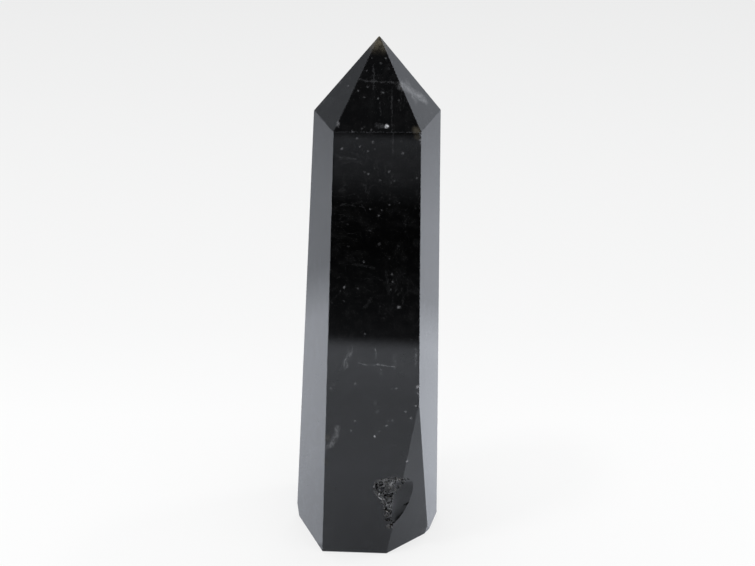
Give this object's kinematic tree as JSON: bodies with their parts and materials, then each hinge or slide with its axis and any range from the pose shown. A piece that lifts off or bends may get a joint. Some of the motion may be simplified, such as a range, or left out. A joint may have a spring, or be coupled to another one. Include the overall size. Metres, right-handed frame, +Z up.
{
  "type": "morion quartz crystal",
  "caption": "Polished near-black smoky quartz point: a tapered six-sided column with a six-sided tip, a flat base to stand on and a natural pit low on one edge.",
  "frame": {"origin": "middle of the flat base, on the surface the crystal stands on", "axes": "+Z up the column to the tip, -Y the front, the side with the pit low on its right edge, +X to the right seen from the front"},
  "size_m": [0.0283, 0.0258, 0.1],
  "materials": {
    "morion": "polished, near-black smoky quartz: glassy facets, brown and see-through only at thin edges and the tip, with faint pale veils and specks"
  },
  "bodies": {
    "root": {"crystal": "morion"}
  },
  "joints": []
}
